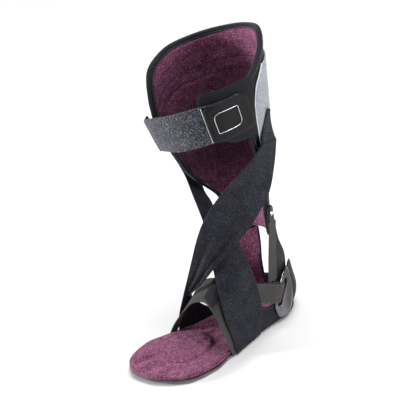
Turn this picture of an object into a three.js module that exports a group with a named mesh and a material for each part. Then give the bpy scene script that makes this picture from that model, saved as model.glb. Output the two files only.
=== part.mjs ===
// Ankle foot orthosis for the left leg. Millimetres, Z up, toes along -Y, lateral side +X.
// The origin is on the underside of the foot plate, below the middle of the heel.
import * as THREE from 'three';

// ---------------------------------------------------------------- driving sizes
const GAP = 0.3;
const PLATE_T = 2.5;
const INSOLE_T = 4;
const TOE_SPRING = 4.5;
const SPRING_START = -102;
const SHELL_T = 2;
const LINING_T = 3.2;
const BINDING_W = 5.2;
const WEBBING_T = 1.4;
const ELASTIC_T = 1.6;
const STRUT_T = 2.4;
const CALF_STRAP_W = 43;
const PAD_T = 3.2;
const WINDOW_TOP = 95;

// foot plate edges: y, medial x, lateral x
const PLATE = [[32, -3, 3], [30, -13, 13], [23, -24, 24], [4, -33, 33], [-20, -32.5, 34.5],
  [-49, -30.5, 36.5], [-70, -33, 40], [-93, -39.5, 46], [-110, -45, 49.5], [-128, -49.5, 48.5],
  [-144, -47, 44], [-157, -42, 35], [-166, -36.5, 24], [-173, -28, 13], [-177.5, -17, -8]];

// leg sections the calf parts follow: height, half width, half depth, middle y
const LEG = [[60, 36, 38, -5], [100, 36, 36, -13], [150, 40.5, 40, -17], [200, 47.5, 50.5, -20],
  [265, 57.5, 60.5, -24], [345, 61, 62.5, -21.5]];

// edges of the calf shell, as angle round the leg from the back (+ is lateral) against height
const MEDIAL_EDGE = [[100, -66], [125, -68], [142, -75], [157, -90], [170, -104], [190, -117],
  [225, -126], [262, -130], [345, -132]];
const LATERAL_EDGE = [[100, 56], [141, 62], [180, 68], [221, 80], [250, 87], [295, 86], [345, 80]];
const TOP_EDGE = [[-132, 278], [-129, 298], [-123, 312], [-110, 321], [-91, 328], [-67, 331],
  [-32, 337], [0, 344], [25, 348], [50, 337], [80, 316]];

// ---------------------------------------------------------------- materials
const mat = (color, roughness, metalness = 0) =>
  new THREE.MeshStandardMaterial({ color, roughness, metalness });
const BLACK_SHELL = mat(0x1c1d21, 0.5);
const VELOUR = mat(0x6e2c4e, 0.95);
const BLACK_TEXTILE = mat(0x22232a, 0.9);
const ELASTIC = mat(0x2d3038, 0.85);
const LOOP_FABRIC = mat(0x55565c, 0.95);
const PANEL_FABRIC = mat(0xb9bcc4, 0.9);
const WEBBING = mat(0x46443f, 0.85);
const WHITE_TRIM = mat(0xe6e6ea, 0.6);
const RUBBER = mat(0x1d1e20, 0.6);
const GLOSS = mat(0x8b8694, 0.25);
const STEEL = mat(0xb8bac0, 0.3, 1);

// ---------------------------------------------------------------- helpers
const group = new THREE.Group();
group.name = 'ankle_foot_orthosis';
const rad = THREE.MathUtils.degToRad;
const lerp = THREE.MathUtils.lerp;

// value at x of a smooth curve through rows [x, a, b, ...]
function along(rows, x, column = 1) {
  const up = rows[rows.length - 1][0] > rows[0][0] ? rows : [...rows].reverse();
  const n = up.length;
  let i = 0;
  while (i < n - 2 && x > up[i + 1][0]) i += 1;
  const slope = (k) => {
    if (k < 0 || k > n - 2) return null;
    return (up[k + 1][column] - up[k][column]) / (up[k + 1][0] - up[k][0]);
  };
  const tangent = (k) => {
    const a = slope(k - 1);
    const b = slope(k);
    if (a === null) return b;
    if (b === null) return a;
    return a * b <= 0 ? 0 : 2 * a * b / (a + b);
  };
  const h = up[i + 1][0] - up[i][0];
  const t = THREE.MathUtils.clamp((x - up[i][0]) / h, 0, 1);
  const h00 = 2 * t ** 3 - 3 * t ** 2 + 1;
  const h10 = t ** 3 - 2 * t ** 2 + t;
  const h01 = 3 * t ** 2 - 2 * t ** 3;
  const h11 = t ** 3 - t ** 2;
  return h00 * up[i][column] + h10 * h * tangent(i) + h01 * up[i + 1][column] + h11 * h * tangent(i + 1);
}

// closed solid between two point grids of the same size
function slab(front, back) {
  const rows = front.length;
  const cols = front[0].length;
  const positions = [...front.flat(), ...back.flat()].flatMap((p) => [p.x, p.y, p.z]);
  const f = (i, j) => i * cols + j;
  const b = (i, j) => rows * cols + i * cols + j;
  const index = [];
  const quad = (p, q, r, s) => index.push(p, q, r, p, r, s);
  for (let i = 0; i < rows - 1; i += 1) {
    for (let j = 0; j < cols - 1; j += 1) {
      quad(f(i, j), f(i, j + 1), f(i + 1, j + 1), f(i + 1, j));
      quad(b(i, j), b(i + 1, j), b(i + 1, j + 1), b(i, j + 1));
    }
    quad(f(i, 0), f(i + 1, 0), b(i + 1, 0), b(i, 0));
    quad(f(i, cols - 1), b(i, cols - 1), b(i + 1, cols - 1), f(i + 1, cols - 1));
  }
  for (let j = 0; j < cols - 1; j += 1) {
    quad(f(0, j), b(0, j), b(0, j + 1), f(0, j + 1));
    quad(f(rows - 1, j), f(rows - 1, j + 1), b(rows - 1, j + 1), b(rows - 1, j));
  }
  const point = (k) => new THREE.Vector3().fromArray(positions, 3 * index[k]);
  let volume = 0;
  for (let k = 0; k < index.length; k += 3) volume += point(k).dot(point(k + 1).cross(point(k + 2)));
  if (volume < 0) {
    for (let k = 0; k < index.length; k += 3) [index[k], index[k + 1]] = [index[k + 1], index[k]];
  }
  const geometry = new THREE.BufferGeometry();
  geometry.setAttribute('position', new THREE.Float32BufferAttribute(positions, 3));
  geometry.setIndex(index);
  geometry.computeVertexNormals();
  return geometry;
}

const grid = (rows, cols, at) => Array.from({ length: rows + 1 }, (_, i) =>
  Array.from({ length: cols + 1 }, (__, j) => at(i / rows, j / cols)));

function add(name, geometry, material, parent = group) {
  const mesh = new THREE.Mesh(geometry, material);
  mesh.name = name;
  parent.add(mesh);
  return mesh;
}

// sheet of even thickness about the surface at(u, v)
function sheet(rows, cols, at, thickness) {
  const e = 1e-3;
  const side = (s) => grid(rows, cols, (u, v) => {
    const du = at(Math.min(u + e, 1), v).sub(at(Math.max(u - e, 0), v));
    const dv = at(u, Math.min(v + e, 1)).sub(at(u, Math.max(v - e, 0)));
    const normal = du.cross(dv).normalize();
    return at(u, v).addScaledVector(normal, s * thickness / 2);
  });
  return slab(side(1), side(-1));
}

const curve = (points) =>
  new THREE.CatmullRomCurve3(points.map((p) => new THREE.Vector3(...p)), false, 'centripetal');

// webbing between two edge curves
function ribbon(edgeA, edgeB, thickness, rows = 28, cols = 4, from = 0) {
  const a = curve(edgeA);
  const b = curve(edgeB);
  const at = (u, v) => {
    const s = lerp(from, 1, u);
    return a.getPoint(s).lerp(b.getPoint(s), v);
  };
  return sheet(rows, cols, at, thickness);
}

// ---------------------------------------------------------------- the leg surface
function leg(angle, z, off = 0) {
  const s = Math.sin(rad(angle));
  const c = Math.cos(rad(angle));
  const front = Math.min(0, c);
  const x = (along(LEG, z, 1) + off) * s * (1 + 0.38 * front * front);
  const y = along(LEG, z, 3) + (along(LEG, z, 2) + off) * c;
  return new THREE.Vector3(x, y, z);
}
const perDegree = (z) => rad(1) * (along(LEG, z, 1) + along(LEG, z, 2)) / 2;

// layer on the leg surface from one offset to another; at(u, v) gives [angle, height]
function layer(rows, cols, at, inner, outer) {
  const side = (off) => grid(rows, cols, (u, v) => leg(...at(u, v), off));
  return slab(side(outer), side(inner));
}

// place inside the outline of the shell, u across and v up, with the outline moved in by inset
function shellAt(u, v, inset) {
  const bottom = WINDOW_TOP + 6 * Math.sin(Math.PI * u) + 13 * u ** 3;
  const top = along(TOP_EDGE, lerp(-132, 80, u)) - inset;
  const z = lerp(bottom, top, v);
  const turn = inset / perDegree(z);
  return [lerp(along(MEDIAL_EDGE, z) + turn, along(LATERAL_EDGE, z) - turn, u), z];
}

// ---------------------------------------------------------------- foot
const plateX = (y, side) => along(PLATE, y, side < 0 ? 1 : 2);
const heelEnd = PLATE[0][0];
const toeEnd = PLATE[PLATE.length - 1][0];
const lift = (y) => TOE_SPRING * (Math.max(0, SPRING_START - y) / (SPRING_START - toeEnd)) ** 1.8;

// horizontal layer with the plate's outline moved in by inset
function footLayer(rows, cols, inset, low, high, edgeRise = 0) {
  const side = (z, rise) => grid(rows, cols, (u, v) => {
    const t = (1 - Math.cos(Math.PI * u)) / 2;
    const y = lerp(heelEnd - inset, toeEnd + inset, t);
    const yOutline = lerp(heelEnd, toeEnd, t);
    const sideInset = t > 0.02 && t < 0.98 ? inset : 0.3 * inset;
    const x = lerp(plateX(yOutline, -1) + sideInset, plateX(yOutline, 1) - sideInset, v);
    const edge = Math.max(0, 2 * v - 1) ** 4 * Math.sin(Math.PI * t);
    return new THREE.Vector3(x, y, z + lift(y) + rise * edge);
  });
  return slab(side(high, edgeRise), side(low, 0));
}
add('foot_plate', footLayer(30, 4, 0, 0, PLATE_T), BLACK_SHELL);
const insoleLow = PLATE_T + GAP;
add('insole', footLayer(30, 8, 1.5, insoleLow, insoleLow + INSOLE_T, 3), VELOUR);

// raised oval under the ball of the foot
const ovalPad = (height) => grid(10, 10, (u, v) => {
  const p = 2 * u - 1;
  const q = 2 * v - 1;
  const x = p * Math.sqrt(1 - q * q / 2);
  const y = q * Math.sqrt(1 - p * p / 2);
  const at = -112 + 33 * y;
  const z = insoleLow + INSOLE_T + GAP + lift(at);
  return new THREE.Vector3(-4 + 27 * x, at, z + height * (1.1 - x * x - y * y));
});
add('forefoot_pad', slab(ovalPad(1.6), ovalPad(0)), VELOUR);

// heel cup: wall round the heel, highest behind the lateral strut, with a bulge at the back
const CUP_PLAN = [[-34.3, -33], [-34.8, -8], [-34.6, 8], [-27, 26], [-14, 34.4], [0, 36], [14, 34.4],
  [27, 26], [34.6, 8], [35.4, -8], [36.8, -33]];
const CUP_HEIGHT = [[0, 10], [0.15, 12], [0.3, 22], [0.4, 20], [0.5, 20], [0.58, 38], [0.66, 60],
  [0.71, 62], [0.76, 50], [0.81, 30], [0.86, 24.5], [0.93, 25], [1, 36]];
const CUP_BULGE = [[0, 0], [8, 1], [16, 5], [26, 7], [42, 5.2], [58, 3], [66, 1.4]];
const CUP_BULGE_ROUND = [[0, 0], [0.25, 0], [0.38, 1], [0.62, 1], [0.72, 0.7], [0.79, 0], [1, 0]];
const CUP_T = 1.8;
const cupPlan = curve(CUP_PLAN.map(([x, y]) => [x, y, 0]));
add('heel_cup', sheet(40, 8, (u, v) => {
  const p = cupPlan.getPoint(u);
  const way = cupPlan.getPoint(Math.min(1, u + 0.01)).sub(cupPlan.getPoint(Math.max(0, u - 0.01)));
  const rise = v * along(CUP_HEIGHT, u);
  const out = along(CUP_BULGE, rise) * along(CUP_BULGE_ROUND, u) / way.length();
  return new THREE.Vector3(p.x - way.y * out, p.y + way.x * out, 1.2 + rise);
}, CUP_T), BLACK_TEXTILE);

// buckle plate with a slanted slot on the lateral side of the heel
const BUCKLE_X = 37.2;
const BUCKLE_T = 2.2;
const BUCKLE = [[15, 66], [6, 52], [-8.5, 25], [-9, 19], [-3, 5], [11, 7], [19, 24], [20, 40]];
const SLOT = [[8.6, 52.5], [13, 49.5], [-1, 20.5], [-5.4, 23.5]];
const inSide = (Outline, points) => new Outline(points.map(([y, z]) => new THREE.Vector2(y, z)));
const buckleShape = inSide(THREE.Shape, BUCKLE);
buckleShape.holes.push(inSide(THREE.Path, SLOT));
const buckleBody = new THREE.ExtrudeGeometry(buckleShape, { depth: BUCKLE_T, bevelEnabled: false });
buckleBody.rotateX(Math.PI / 2);
buckleBody.rotateZ(Math.PI / 2);
add('heel_buckle', buckleBody, GLOSS).position.x = BUCKLE_X;

// webbing through the slot and back, then forward to the instep
const HEEL_LOOP = [[31.5, -60, 58], [36, -34, 53], [38.5, -18, 46], [41, -7, 40.5], [41, 0.6, 37.3],
  [38.3, 4.1, 35.8], [35.6, 0.6, 37.3], [34.4, -8, 41], [33, -20, 46]];
const slotWay = new THREE.Vector3(0, 0.47, 0.88);
const HEEL_WEBBING_W = 23;
const shifted = (points, way, distance) => points.map((p) =>
  new THREE.Vector3(...p).addScaledVector(way, distance).toArray());
const heelStrapLow = shifted(HEEL_LOOP, slotWay, -HEEL_WEBBING_W / 2);
const heelStrapHigh = shifted(HEEL_LOOP, slotWay, HEEL_WEBBING_W / 2);
add('heel_strap', ribbon(heelStrapLow, heelStrapHigh, WEBBING_T, 30, 2), WEBBING);

// ---------------------------------------------------------------- calf
const EDGE_IN = BINDING_W + 2 * GAP;
add('calf_shell', layer(30, 18, (u, v) => shellAt(u, v, EDGE_IN), 0, SHELL_T), BLACK_SHELL);
add('calf_lining', layer(30, 18, (u, v) => shellAt(u, v, EDGE_IN), -GAP - LINING_T, -GAP), VELOUR);
add('rim_binding', layer(84, 2, (u, v) => {
  const s = 3 * u;
  const inset = BINDING_W * v;
  if (s <= 1) return shellAt(0, s, inset);
  if (s <= 2) return shellAt(s - 1, 1, inset);
  return shellAt(1, 3 - s, inset);
}, -GAP - LINING_T - 0.4, SHELL_T + 0.4), BLACK_TEXTILE);

// loop panel and its piping on the outside of the shell
const SKIN = SHELL_T + 2 * GAP;
const PANEL_LOW = 172;
const PANEL_HIGH = 322;
const PANEL_FRONT = [[172, 58], [200, 66], [227, 72], [250, 76], [280, 78], [300, 75], [322, 60]];
const panelHeight = (v) => lerp(PANEL_LOW, PANEL_HIGH, v);
const panelAt = (u, v) => [lerp(-70, along(PANEL_FRONT, panelHeight(v)), u), panelHeight(v)];
add('loop_panel', layer(16, 12, panelAt, SKIN, SKIN + 1.4), PANEL_FABRIC);
const pipingAt = (u, v) => [along(PANEL_FRONT, panelHeight(u)) + 0.5 + 1.5 * v, panelHeight(u)];
add('panel_piping', layer(20, 1, pipingAt, SKIN, SKIN + 1.4), WHITE_TRIM);

// soft flap from the lateral edge, forward under the calf strap
add('front_flap', layer(16, 6, (u, v) => {
  const high = 320 - 6 * Math.max(0, (u - 0.85) / 0.15) ** 2;
  const low = 252 + 34 * u ** 3;
  return [lerp(80, 143, u), lerp(low, high, v)];
}, SKIN, SKIN + 1.4), BLACK_TEXTILE);

// ---------------------------------------------------------------- calf strap
const STRAP_LOW = SKIN + 2.2;
const STRAP_T = 1.8;
const PAD_LOW = STRAP_LOW + STRAP_T + GAP;
const PAD_START = 0.69;
const PAD_END = 1.035;
const STRAP_RISE = [[0, 241], [0.35, 267], [0.69, 285], [1.04, 288]];
const strapAt = (u, v, width) => {
  const across = v - 0.5;
  const angle = lerp(226, 94, u) + across * lerp(-9, 8, Math.min(1, u / PAD_START));
  return [angle, along(STRAP_RISE, u) + across * width];
};
const calfStrapAt = (u, v) => strapAt(u, v, CALF_STRAP_W);
add('calf_strap', layer(26, 4, calfStrapAt, STRAP_LOW, STRAP_LOW + STRAP_T), LOOP_FABRIC);
const padAt = (u, v) => strapAt(lerp(PAD_START, PAD_END, u), v, CALF_STRAP_W);
add('closure_pad', layer(10, 6, padAt, PAD_LOW, PAD_LOW + PAD_T), RUBBER);
const FRAME_LOW = PAD_LOW + PAD_T + GAP;
const framePoint = (k) => {
  const way = 2 * Math.PI * k / 24;
  const round = (x) => Math.sign(x) * Math.abs(x) ** 0.45;
  return leg(...padAt(0.45 + 0.275 * round(Math.cos(way)), 0.515 + 0.265 * round(Math.sin(way))),
    FRAME_LOW + 0.5);
};
const frameLoop = new THREE.CatmullRomCurve3(Array.from({ length: 24 }, (_, k) => framePoint(k)), true);
add('pad_frame', new THREE.TubeGeometry(frameLoop, 48, 0.5, 6, true), STEEL);
add('hook_patch', layer(8, 4, (u, v) => {
  const s = lerp(0.72, 0.98, u);
  return strapAt(s, v, 34);
}, SKIN + 1.4 + GAP / 2, STRAP_LOW - GAP / 2), BLACK_TEXTILE);

// ring on the medial edge that the calf strap turns round, and the webbing that keeps it
const RING_ANGLE = 232;
const RING_WIRE = 1.2;
const RING_OFF = SKIN + 1.4 + 3 * GAP + RING_WIRE;
const ringPoint = (out, up) => leg(RING_ANGLE + out - 9 * up / 43, 241 + up, RING_OFF);
const RING_OUTLINE = [[-2.6, -20], [0, -23], [2.6, -20], [2.6, 20], [0, 23], [-2.6, 20]];
const ringWay = RING_OUTLINE.map(([out, up]) => ringPoint(out, up));
const ringLoop = new THREE.CatmullRomCurve3(ringWay, true, 'catmullrom', 0.4);
add('strap_ring', new THREE.TubeGeometry(ringLoop, 36, RING_WIRE, 8, true), BLACK_SHELL);
add('ring_keeper', layer(8, 3, (u, v) => [lerp(231, 250, u) - 7 * (v - 0.5), 241 + 34 * (v - 0.5)],
  SKIN, SKIN + 1.4), BLACK_TEXTILE);

// ---------------------------------------------------------------- struts
const onShell = (angle, z, off) => leg(angle, z, off).toArray();
const STRUT_OFF = 5.2;
const LATERAL_FRONT = [onShell(74, 152, STRUT_OFF), onShell(72, 124, STRUT_OFF), [37, 0, 100],
  [35, 3, 74], [31.8, 5, 52], [31.4, 6, 26]];
const LATERAL_REAR = [onShell(50, 152, STRUT_OFF), onShell(46, 124, STRUT_OFF), [32.5, 14.5, 102],
  [30, 22, 77], [26, 24, 55], [23.5, 22, 26]];
const MEDIAL_FRONT = [onShell(-66, 152, STRUT_OFF), onShell(-66, 124, STRUT_OFF), [-36.5, 3, 98],
  [-34.5, 9, 68], [-31.4, 14, 40], [-29.8, 14, 10]];
const MEDIAL_REAR = [onShell(-42, 152, STRUT_OFF), onShell(-38, 124, STRUT_OFF), [-25, 31, 98],
  [-23.5, 31.5, 72], [-22.5, 28.5, 46], [-19, 26.5, 10]];
const inward = (points, distance) =>
  points.map(([x, y, z]) => [x - Math.sign(x) * distance, y - distance * 0.6, z]);
add('lateral_strut', ribbon(LATERAL_FRONT, LATERAL_REAR, STRUT_T, 20, 3), BLACK_SHELL);
add('medial_strut', ribbon(MEDIAL_FRONT, MEDIAL_REAR, STRUT_T, 20, 3), BLACK_SHELL);
const LINER_OFF = 2.8;
const liner = (points) => inward(points, LINER_OFF);
add('lateral_strut_lining', ribbon(liner(LATERAL_FRONT), liner(LATERAL_REAR), 2.2, 14, 3, 0.47), VELOUR);
add('medial_strut_lining', ribbon(liner(MEDIAL_FRONT), liner(MEDIAL_REAR), 2.2, 14, 3, 0.47), VELOUR);
for (const [name, angle] of [['lateral_rivet', 63], ['medial_rivet', -54]]) {
  const rivet = add(name, new THREE.CylinderGeometry(1.8, 3.2, 1.4, 16), STEEL);
  const at = leg(angle, 141, STRUT_OFF + STRUT_T / 2 + GAP);
  const out = leg(angle, 141, 20).sub(at).normalize();
  rivet.quaternion.setFromUnitVectors(new THREE.Vector3(0, 1, 0), out);
  rivet.position.copy(at.addScaledVector(out, 0.7));
}

// webbing along the front of the lateral strut
add('rear_webbing', ribbon([[43.8, -4, 132], [41.8, -6, 112], [38.4, -7.5, 84], [36.4, -9.5, 62]],
  [[43.6, 1.6, 132], [42, -1.4, 112], [38.4, -1, 84], [36.4, -0.2, 66]], WEBBING_T, 14, 2), WEBBING);

// ---------------------------------------------------------------- cross straps and instep band
const TOP_STRAP_FRONT = [[64, -12, 240], [63, -27, 229], [55, -49, 213], [40, -63, 192], [20.5, -72, 163],
  [8, -76, 139], [-2, -81.5, 110], [-13.9, -87, 76], [-26.5, -87, 50], [-38.3, -88.7, 22],
  [-41.8, -90, 1]];
const TOP_STRAP_REAR = [[51.5, 17, 230], [54, 7, 203], [52.5, -3, 176], [49.5, -19, 156], [44, -34, 139],
  [36, -47, 125], [28, -59, 111.5], [17, -72, 95], [1.5, -78.5, 75], [-16, -82, 58], [-31, -69, 41],
  [-34, -57, 25], [-33.6, -45, 12], [-32.2, -40, 1]];
add('top_cross_strap', ribbon(TOP_STRAP_FRONT, TOP_STRAP_REAR, ELASTIC_T, 40, 4), ELASTIC);
const UNDER_STRAP_FRONT = [[-66, -14, 236], [-64, -35.5, 204], [-50.4, -35.4, 175], [-26.7, -45.8, 158],
  [-5, -56, 145], [5, -59, 124], [14, -67.5, 96], [32, -78, 70], [42, -83, 45], [45, -81, 26],
  [46.2, -79, 1]];
const UNDER_STRAP_REAR = [[-56, 19, 230], [-58.5, 3, 198], [-53.6, -13.6, 172], [-45, -18.6, 155.5],
  [-25, -25.5, 149], [-6, -35, 147], [14, -39, 139], [29, -40, 124], [35, -34, 95], [38.5, -29, 58],
  [39.5, -29, 27], [38.4, -36, 1]];
add('under_cross_strap', ribbon(UNDER_STRAP_FRONT, UNDER_STRAP_REAR, ELASTIC_T, 40, 4), ELASTIC);
const BAND_FRONT = [[45.2, -84, 1], [45, -88, 22], [40.5, -91, 43], [31, -91, 58], [14, -87, 61],
  [-7, -88, 53], [-23, -89, 38], [-36.6, -97.5, 18], [-44.6, -103, 1]];
const BAND_REAR = [[42.4, -71, 1], [40.4, -69, 24], [35.4, -69, 45], [26, -66, 67], [9, -61, 77],
  [-10, -66, 70.5], [-22, -74, 51], [-34.4, -85, 24], [-41.8, -94.5, 1]];
add('instep_band', ribbon(BAND_FRONT, BAND_REAR, WEBBING_T, 32, 3), WEBBING);
const TAB_FRONT = [[30, -89, 61.5], [22, -87.5, 64.5], [11, -85, 65.5]];
const TAB_REAR = [[25.5, -66, 72], [18, -63, 78], [8, -61, 81.5]];
add('instep_tab', ribbon(TAB_FRONT, TAB_REAR, WEBBING_T, 8, 3), BLACK_TEXTILE);

// hook ends of the cross straps, on the loop panel at the back of the calf
const END_LOW = SKIN + 1.4 + GAP;
const endTab = (side) => layer(12, 4, (u, v) => {
  const angle = lerp(lerp(81, 61, u), lerp(48, 56, u), v);
  const z = lerp(lerp(242, 270, u), lerp(231, 268, u), v);
  return [side * angle, z];
}, END_LOW, END_LOW + ELASTIC_T);
add('top_strap_end', endTab(1), ELASTIC);
add('under_strap_end', endTab(-1), ELASTIC);

export default group;
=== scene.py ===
"""Ankle foot orthosis for the left leg: cloth, padding, hardware, finishes and studio.

Lengths are in millimetres up to the point where a mesh is made. Z is up, the toes point along -Y
and +X is the lateral side.
"""

import math

import bpy
import numpy as np
from mathutils import Matrix, Vector


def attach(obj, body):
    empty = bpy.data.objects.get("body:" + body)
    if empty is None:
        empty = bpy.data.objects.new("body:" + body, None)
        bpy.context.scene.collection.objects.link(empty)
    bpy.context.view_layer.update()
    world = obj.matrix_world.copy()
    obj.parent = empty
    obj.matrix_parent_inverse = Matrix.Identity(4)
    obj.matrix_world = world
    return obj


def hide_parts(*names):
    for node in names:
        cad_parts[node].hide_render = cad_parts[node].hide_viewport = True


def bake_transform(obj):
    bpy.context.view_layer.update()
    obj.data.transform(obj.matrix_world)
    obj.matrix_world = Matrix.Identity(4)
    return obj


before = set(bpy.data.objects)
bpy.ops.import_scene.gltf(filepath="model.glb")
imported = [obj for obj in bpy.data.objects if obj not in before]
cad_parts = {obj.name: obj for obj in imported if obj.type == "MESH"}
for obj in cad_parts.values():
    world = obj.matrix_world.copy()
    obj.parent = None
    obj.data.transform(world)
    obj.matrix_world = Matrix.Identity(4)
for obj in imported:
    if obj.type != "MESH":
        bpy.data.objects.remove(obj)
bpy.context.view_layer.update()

# ---- sizes
MM = 0.001
GAP = 0.3
PLATE_T = 2.5
INSOLE_T = 4.0
TOE_SPRING = 4.5
SPRING_START = -102.0
SHELL_T = 2.0
LINING_T = 3.2
BINDING_W = 5.2
FABRIC_T = 1.4
WEBBING_T = 1.4
ELASTIC_T = 1.6
STRUT_T = 2.4
CALF_STRAP_W = 43.0
PAD_T = 3.2
WINDOW_TOP = 95.0
SKIN = SHELL_T + 2 * GAP

# foot plate edges: y, medial x, lateral x
PLATE = [[32, -3, 3], [30, -13, 13], [23, -24, 24], [4, -33, 33], [-20, -32.5, 34.5],
         [-49, -30.5, 36.5], [-70, -33, 40], [-93, -39.5, 46], [-110, -45, 49.5], [-128, -49.5, 48.5],
         [-144, -47, 44], [-157, -42, 35], [-166, -36.5, 24], [-173, -28, 13], [-177.5, -17, -8]]
HEEL_END = 32.0
TOE_END = -177.5
# leg sections: height, half width, half depth, middle y
LEG = [[60, 36, 38, -5], [100, 36, 36, -13], [150, 40.5, 40, -17], [200, 47.5, 50.5, -20],
       [265, 57.5, 60.5, -24], [345, 61, 62.5, -21.5]]
# edges of the shell: height against angle round the leg from the back, + is lateral
MEDIAL_EDGE = [[100, -66], [125, -68], [142, -75], [157, -90], [170, -104], [190, -117],
               [225, -126], [262, -130], [345, -132]]
LATERAL_EDGE = [[100, 56], [141, 62], [180, 68], [221, 80], [250, 87], [295, 86], [345, 80]]
TOP_EDGE = [[-132, 278], [-129, 298], [-123, 312], [-110, 321], [-91, 328], [-67, 331],
            [-32, 337], [0, 344], [25, 348], [50, 337], [80, 316]]
RIM_MEDIAL = -132
RIM_LATERAL = 80
PANEL_LOW = 172.0
PANEL_HIGH = 322.0
PANEL_FRONT = [[172, 58], [200, 66], [227, 72], [250, 76], [280, 78], [300, 75], [322, 60]]

# camera, in metres and degrees
CAMERA_TARGET = Vector((-0.0013, -0.0464, 0.1552))
CAMERA_DISTANCE = 1.6
CAMERA_AZIMUTH = 54.0
CAMERA_ELEVATION = 29.09
CAMERA_ROLL = 10.0
CAMERA_LENS = 125.6


# ---- curves and surfaces
def smooth(rows, x, column=1):
    """Value at x of a smooth curve through rows, which never overshoots them."""
    table = np.array(sorted(rows), float)
    xs = table[:, 0]
    ys = table[:, column]
    gap = np.diff(xs)
    slope = np.diff(ys) / gap
    product = slope[:-1] * slope[1:]
    total = np.where(product > 0, slope[:-1] + slope[1:], 1)
    inner = np.where(product > 0, 2 * product / total, 0)
    tangent = np.concatenate([slope[:1], inner, slope[-1:]])
    x = np.clip(x, xs[0], xs[-1])
    i = np.clip(np.searchsorted(xs, x, side="right") - 1, 0, len(xs) - 2)
    t = (x - xs[i]) / gap[i]
    start = (2 * t**3 - 3 * t**2 + 1) * ys[i] + (t**3 - 2 * t**2 + t) * gap[i] * tangent[i]
    end = (3 * t**2 - 2 * t**3) * ys[i + 1] + (t**3 - t**2) * gap[i] * tangent[i + 1]
    return start + end


def mix(a, b, t):
    return a + (b - a) * t


def curve(points):
    """Centripetal Catmull-Rom curve through points, as a function of u from 0 to 1."""
    p = np.array(points, float)
    p = np.vstack([2 * p[0] - p[1], p, 2 * p[-1] - p[-2]])

    def gap(a, b):
        return np.sqrt(np.linalg.norm(b - a, axis=-1, keepdims=True))

    def at(u):
        s = np.clip(u, 0, 1) * (len(p) - 3)
        i = np.minimum(s.astype(int), len(p) - 4)
        w = (s - i)[..., None]
        a, b, c, d = p[i], p[i + 1], p[i + 2], p[i + 3]
        ab, bc, cd = gap(a, b), gap(b, c), gap(c, d)
        start = ((b - a) / ab - (c - a) / (ab + bc) + (c - b) / bc) * bc
        end = ((c - b) / bc - (d - b) / (bc + cd) + (d - c) / cd) * bc
        bend = 3 * (c - b) - 2 * start - end
        twist = 2 * (b - c) + start + end
        return b + start * w + bend * w**2 + twist * w**3
    return at


def between(edge_a, edge_b):
    """Surface between two edge curves."""
    a = curve(edge_a)
    b = curve(edge_b)
    return lambda u, v: mix(a(u), b(u), v[..., None])


def leg(angle, z, off=0.0):
    """Point on the leg surface, moved out by off."""
    turn = np.radians(angle)
    s = np.sin(turn)
    c = np.cos(turn)
    wide = 1 + 0.38 * np.minimum(0, c)**2
    x = (smooth(LEG, z, 1) + off) * s * wide
    y = smooth(LEG, z, 3) + (smooth(LEG, z, 2) + off) * c
    return np.stack([x, y, z + 0 * x], axis=-1)


def on_leg(place, off):
    """Surface at the angles and heights that place(u, v) gives, moved out by off."""
    return lambda u, v: leg(*place(u, v), off)


def top_edge(u):
    return smooth(TOP_EDGE, mix(RIM_MEDIAL, RIM_LATERAL, u))


def lower_edge(u):
    return WINDOW_TOP + 6 * np.sin(np.pi * u) + 13 * u**3


def shell_place(u, v, inset):
    """Angle and height inside the shell's outline moved in by inset, u across and v up."""
    z = mix(lower_edge(u), top_edge(u) - inset, v)
    turn = inset / (np.radians(1) * (smooth(LEG, z, 1) + smooth(LEG, z, 2)) / 2)
    return mix(smooth(MEDIAL_EDGE, z) + turn, smooth(LATERAL_EDGE, z) - turn, u), z


def rim_place(s, inset):
    """Angle and height along the free edge: up the medial side, over the top, down the lateral side."""
    up = shell_place(np.zeros_like(s), np.clip(s, 0, 1), inset)
    over = shell_place(np.clip(s - 1, 0, 1), np.ones_like(s), inset)
    down = shell_place(np.ones_like(s), np.clip(3 - s, 0, 1), inset)
    return [np.where(s <= 1, a, np.where(s <= 2, b, c)) for a, b, c in zip(up, over, down)]


def sole_lift(y):
    return TOE_SPRING * (np.maximum(0, SPRING_START - y) / (SPRING_START - TOE_END))**1.8


def sole_place(u, v, inset):
    """x and y inside the foot plate's outline moved in by inset, u from heel to toe."""
    t = (1 - np.cos(np.pi * u)) / 2
    y = mix(HEEL_END - inset, TOE_END + inset, t)
    outline = mix(HEEL_END, TOE_END, t)
    side = np.where((t > 0.02) & (t < 0.98), inset, 0.3 * inset)
    return mix(smooth(PLATE, outline, 1) + side, smooth(PLATE, outline, 2) - side, v), y, t


def unit(v):
    return v / np.maximum(np.linalg.norm(v, axis=-1, keepdims=True), 1e-9)


def normals(points):
    return unit(np.cross(np.gradient(points, axis=0), np.gradient(points, axis=1)))


def ripple(x, y, seed=0.0):
    """Smooth irregular waves of height about 1, for cloth that isn't perfectly even."""
    return (np.sin(x + 1.7 * y + seed) + np.sin(2.3 * x - 1.1 * y + 2.1 * seed)
            + 0.6 * np.sin(0.6 * x + 3.1 * y + 3.7 * seed)) / 2.6


# ---- mesh building
# what each sheet was drawn with: u and v of its points
PLACES = {}
SWELL_FRAMES = 20
# the cover's cloth: light, fairly stretchy, cut 4 % too large and blown up from inside
COVER = {"quality": 6, "mass": 0.05, "tension_stiffness": 12, "compression_stiffness": 12,
         "shear_stiffness": 4, "bending_stiffness": 0.05, "use_pressure": True,
         "uniform_pressure_force": 4.0, "shrink_min": -0.04}


def add(name, data):
    """New object in the scene."""
    obj = bpy.data.objects.new(name, data)
    bpy.context.scene.collection.objects.link(obj)
    return obj


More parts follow.
